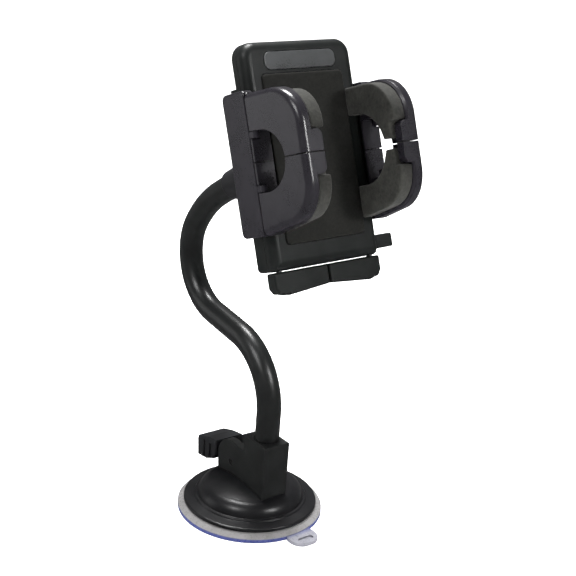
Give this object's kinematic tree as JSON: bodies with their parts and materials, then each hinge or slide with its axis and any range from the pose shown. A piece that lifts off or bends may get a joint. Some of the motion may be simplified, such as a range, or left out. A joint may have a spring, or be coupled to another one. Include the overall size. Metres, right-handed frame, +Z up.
{
  "type": "car phone mount",
  "caption": "Phone holder with a lever-locked suction base, a bending neck, a swivelling ball joint and two geared jaws with folding arms.",
  "frame": {"origin": "centre of the suction disc, on the surface it holds to", "axes": "+Z up from the surface; the holder's face looks towards -Y; +X is to the right of a person facing it"},
  "size_m": [0.0785, 0.1362, 0.2335],
  "materials": {
    "clear_pvc": "clear soft",
    "cup_black": "gloss",
    "block_black": "fine matte",
    "lever_black": "satin",
    "steel": "zinc plated",
    "neck_black": "satin",
    "ball_black": "satin",
    "body_black": "fine grain",
    "pad_black": "matte",
    "plate_black": "satin gloss",
    "gear_white": "natural acetal",
    "jaw_black": "satin gloss",
    "foam_black": "matte foam"
  },
  "bodies": {
    "base": {"suction_disc": "clear_pvc", "cup_shell": "cup_black", "lever_housing": "block_black", "base_screws": "steel", "lever_pin": "steel", "stem_spring": "steel", "grub_screw": "steel", "lower_ferrule": "steel", "neck_sleeve_1": "neck_black", "neck_core_1": "steel"},
    "lever": {"cam_lever": "lever_black", "cam_pin": "steel"},
    "stem": {"lift_stem": "ball_black"},
    "neck_link_2": {"neck_sleeve_2": "neck_black", "neck_core_2": "steel"},
    "neck_link_3": {"neck_sleeve_3": "neck_black", "neck_core_3": "steel"},
    "neck_link_4": {"neck_sleeve_4": "neck_black", "neck_core_4": "steel"},
    "neck_link_5": {"neck_sleeve_5": "neck_black", "neck_core_5": "steel"},
    "neck_top": {"neck_sleeve_6": "neck_black", "neck_core_6": "steel", "upper_ferrule": "ball_black", "ball_stud": "ball_black"},
    "seat": {"ball_seat": "ball_black"},
    "socket": {"ball_socket": "ball_black", "swivel_screw": "steel"},
    "nut": {"collar_nut": "ball_black"},
    "holder": {"adapter_plate": "ball_black", "front_shell": "body_black", "rear_shell": "body_black", "case_screws": "steel", "face_pad": "pad_black", "name_plate": "plate_black", "pinion_axle": "steel", "jaw_spring": "steel", "button_spring": "steel", "foot_pins": "steel"},
    "pinion": {"pinion": "gear_white"},
    "button": {"release_button": "body_black"},
    "left_jaw": {"left_jaw_rail": "jaw_black", "left_jaw_cover": "body_black", "left_hinge_pins": "steel", "left_rack": "gear_white"},
    "left_upper_arm": {"left_upper_arm": "jaw_black", "left_upper_arm_pad": "foam_black"},
    "left_lower_arm": {"left_lower_arm": "jaw_black", "left_lower_arm_pad": "foam_black"},
    "left_foot": {"left_foot": "body_black"},
    "right_jaw": {"right_jaw_rail": "jaw_black", "right_jaw_cover": "body_black", "right_hinge_pins": "steel", "right_rack": "gear_white"},
    "right_upper_arm": {"right_upper_arm": "jaw_black", "right_upper_arm_pad": "foam_black"},
    "right_lower_arm": {"right_lower_arm": "jaw_black", "right_lower_arm_pad": "foam_black"},
    "right_foot": {"right_foot": "body_black"}
  },
  "joints": [
    {"name": "lever_pivot", "type": "hinge", "parent": "base", "child": "lever", "pos_m": [0, 0.008, 0.0223], "axis": [1, 0, 0], "range_deg": [0, 85]},
    {"name": "stem_lift", "type": "slide", "parent": "base", "child": "stem", "axis": [0, 0, 1], "range_m": [-0.00237, 0], "deforming": ["suction_disc", "stem_spring"]},
    {"name": "neck_bend_1", "type": "hinge", "parent": "base", "child": "neck_link_2", "pos_m": [0, -0.0093, 0.0638], "axis": [1, 0, 0], "range_deg": [-20, 20]},
    {"name": "neck_bend_2", "type": "hinge", "parent": "neck_link_2", "child": "neck_link_3", "pos_m": [0, 0.01199, 0.08588], "axis": [0, -0.2959, 0.9552], "range_deg": [-20, 20]},
    {"name": "neck_bend_3", "type": "hinge", "parent": "neck_link_3", "child": "neck_link_4", "pos_m": [0, 0.04358, 0.0908], "axis": [1, 0, 0], "range_deg": [-20, 20]},
    {"name": "neck_bend_4", "type": "hinge", "parent": "neck_link_4", "child": "neck_link_5", "pos_m": [0, 0.06342, 0.11364], "axis": [0, -0.9904, 0.1381], "range_deg": [-20, 20]},
    {"name": "neck_bend_5", "type": "hinge", "parent": "neck_link_5", "child": "neck_top", "pos_m": [0, 0.0518, 0.14222], "axis": [1, 0, 0], "range_deg": [-20, 20]},
    {"name": "ball_pan", "type": "hinge", "parent": "neck_top", "child": "seat", "pos_m": [0, 0.00233, 0.17648], "axis": [0, 0.3608, 0.9326], "range_deg": [-14, 14]},
    {"name": "ball_tilt", "type": "hinge", "parent": "seat", "child": "socket", "pos_m": [0, 0.00233, 0.17648], "axis": [1, 0, 0], "range_deg": [-14, 16]},
    {"name": "ball_roll", "type": "hinge", "parent": "socket", "child": "holder", "pos_m": [0, 0.00233, 0.17648], "axis": [0, -0.9326, 0.3608], "continuous": true},
    {"name": "nut_turn", "type": "hinge", "parent": "socket", "child": "nut", "pos_m": [0, 0.00233, 0.17648], "axis": [0, -0.9326, 0.3608], "range_deg": [0, 330]},
    {"name": "right_jaw_slide", "type": "slide", "parent": "holder", "child": "right_jaw", "axis": [1, 0, 0], "range_m": [0, 0.022]},
    {"name": "left_jaw_slide", "type": "slide", "parent": "holder", "child": "left_jaw", "axis": [-1, 0, 0], "range_m": [0, 0.022]},
    {"name": "pinion_spin", "type": "hinge", "parent": "holder", "child": "pinion", "pos_m": [0, -0.02074, 0.18412], "axis": [0, -0.9326, 0.3608], "range_deg": [-210.59, 0.5]},
    {"name": "button_press", "type": "slide", "parent": "holder", "child": "button", "axis": [-1, 0, 0], "range_m": [0, 0.0035], "stiffness_N_per_m": 250, "springref_m": -0.001, "deforming": ["button_spring"]},
    {"name": "right_upper_arm_swing", "type": "hinge", "parent": "right_jaw", "child": "right_upper_arm", "pos_m": [0.033, -0.03363, 0.19125], "axis": [0, 0.3608, 0.9326], "range_deg": [0, 90]},
    {"name": "right_lower_arm_swing", "type": "hinge", "parent": "right_jaw", "child": "right_lower_arm", "pos_m": [0.033, -0.03363, 0.19125], "axis": [0, 0.3608, 0.9326], "range_deg": [0, 90]},
    {"name": "right_foot_swing", "type": "hinge", "parent": "holder", "child": "right_foot", "pos_m": [0.0252, -0.04324, 0.14093], "axis": [0, 0.3608, 0.9326], "range_deg": [0, 90]},
    {"name": "left_upper_arm_swing", "type": "hinge", "parent": "left_jaw", "child": "left_upper_arm", "pos_m": [-0.033, -0.03363, 0.19125], "axis": [0, -0.3608, -0.9326], "range_deg": [0, 90]},
    {"name": "left_lower_arm_swing", "type": "hinge", "parent": "left_jaw", "child": "left_lower_arm", "pos_m": [-0.033, -0.03363, 0.19125], "axis": [0, -0.3608, -0.9326], "range_deg": [0, 90]},
    {"name": "left_foot_swing", "type": "hinge", "parent": "holder", "child": "left_foot", "pos_m": [-0.0252, -0.04324, 0.14093], "axis": [0, -0.3608, -0.9326], "range_deg": [0, 90]}
  ],
  "couplings": [
    {"joint": "stem_lift", "follows": "lever_pivot", "m_per_rad": -0.0015997},
    {"joint": "left_jaw_slide", "follows": "right_jaw_slide", "ratio": 1},
    {"joint": "pinion_spin", "follows": "right_jaw_slide", "rad_per_m": -166.67}
  ]
}
